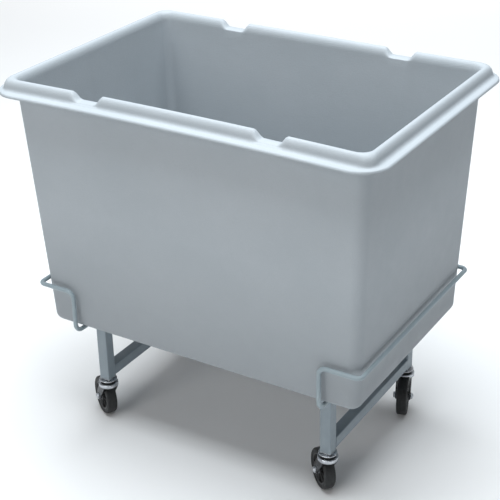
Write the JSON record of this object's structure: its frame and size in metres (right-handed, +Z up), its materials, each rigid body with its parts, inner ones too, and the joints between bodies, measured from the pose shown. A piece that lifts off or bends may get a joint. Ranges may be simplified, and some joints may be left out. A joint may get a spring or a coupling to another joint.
{
  "type": "laundry cart",
  "caption": "Elevated laundry cart: a tapered moulded tub with a rolled rim resting on a welded square-tube frame with wire side guards and swivel casters.",
  "frame": {"origin": "on the floor under the middle of the cart, at the bottom centre of its bounding box", "axes": "+X along the long side, +Y from the front long side to the rear, +Z up"},
  "size_m": [0.869, 0.602, 0.8195],
  "materials": {
    "tub_plastic": "fine moulded texture, satin",
    "frame_paint": "satin grey powder coat",
    "wire_paint": "satin grey powder coat",
    "socket_zinc": "dull zinc plate",
    "caster_zinc": "bright zinc plate",
    "race_steel": "greased dark steel",
    "bushing_steel": "plain steel",
    "tyre_rubber": "black rubber, matte",
    "hub_plastic": "black moulded hub"
  },
  "bodies": {
    "frame": {"leg_front_left": "frame_paint", "leg_front_right": "frame_paint", "leg_rear_left": "frame_paint", "leg_rear_right": "frame_paint", "end_bar_lower_left": "frame_paint", "end_bar_lower_right": "frame_paint", "end_bar_upper_left": "frame_paint", "end_bar_upper_right": "frame_paint", "floor_rail_front": "frame_paint", "floor_rail_rear": "frame_paint", "wire_guard_left": "wire_paint", "wire_guard_right": "wire_paint", "stem_sockets": "socket_zinc", "stem_fl": "caster_zinc", "stem_fr": "caster_zinc", "stem_rl": "caster_zinc", "stem_rr": "caster_zinc"},
    "tub": {"tub": "tub_plastic"},
    "caster_fl": {"fork_fl": "caster_zinc", "ball_race_fl": "race_steel", "axle_bolt_fl": "caster_zinc", "axle_nut_fl": "caster_zinc"},
    "wheel_fl": {"tyre_fl": "tyre_rubber", "hub_fl": "hub_plastic", "bushing_fl": "bushing_steel", "bearing_caps_fl": "caster_zinc"},
    "caster_fr": {"fork_fr": "caster_zinc", "ball_race_fr": "race_steel", "axle_bolt_fr": "caster_zinc", "axle_nut_fr": "caster_zinc"},
    "wheel_fr": {"tyre_fr": "tyre_rubber", "hub_fr": "hub_plastic", "bushing_fr": "bushing_steel", "bearing_caps_fr": "caster_zinc"},
    "caster_rl": {"fork_rl": "caster_zinc", "ball_race_rl": "race_steel", "axle_bolt_rl": "caster_zinc", "axle_nut_rl": "caster_zinc"},
    "wheel_rl": {"tyre_rl": "tyre_rubber", "hub_rl": "hub_plastic", "bushing_rl": "bushing_steel", "bearing_caps_rl": "caster_zinc"},
    "caster_rr": {"fork_rr": "caster_zinc", "ball_race_rr": "race_steel", "axle_bolt_rr": "caster_zinc", "axle_nut_rr": "caster_zinc"},
    "wheel_rr": {"tyre_rr": "tyre_rubber", "hub_rr": "hub_plastic", "bushing_rr": "bushing_steel", "bearing_caps_rr": "caster_zinc"}
  },
  "joints": [
    {"name": "tub_lift", "type": "slide", "parent": "frame", "child": "tub", "axis": [0, 0, 1], "range_m": [0, 0.25]},
    {"name": "swivel_fl", "type": "hinge", "parent": "frame", "child": "caster_fl", "pos_m": [-0.2813, -0.1827, 0.0938], "axis": [0, 0, 1], "continuous": true},
    {"name": "wheel_spin_fl", "type": "hinge", "parent": "caster_fl", "child": "wheel_fl", "pos_m": [-0.30284, -0.16924, 0.04445], "axis": [-0.5299, -0.848, 0], "continuous": true},
    {"name": "swivel_fr", "type": "hinge", "parent": "frame", "child": "caster_fr", "pos_m": [0.2813, -0.1827, 0.0938], "axis": [0, 0, 1], "continuous": true},
    {"name": "wheel_spin_fr", "type": "hinge", "parent": "caster_fr", "child": "wheel_fr", "pos_m": [0.2617, -0.16654, 0.04445], "axis": [-0.6361, -0.7716, 0], "continuous": true},
    {"name": "swivel_rl", "type": "hinge", "parent": "frame", "child": "caster_rl", "pos_m": [-0.2813, 0.1827, 0.0938], "axis": [0, 0, 1], "continuous": true},
    {"name": "wheel_spin_rl", "type": "hinge", "parent": "caster_rl", "child": "wheel_rl", "pos_m": [-0.30236, 0.1685, 0.04445], "axis": [0.5592, -0.829, 0], "continuous": true},
    {"name": "swivel_rr", "type": "hinge", "parent": "frame", "child": "caster_rr", "pos_m": [0.2813, 0.1827, 0.0938], "axis": [0, 0, 1], "continuous": true},
    {"name": "wheel_spin_rr", "type": "hinge", "parent": "caster_rr", "child": "wheel_rr", "pos_m": [0.28999, 0.15883, 0.04445], "axis": [0.9397, 0.342, 0], "continuous": true}
  ]
}
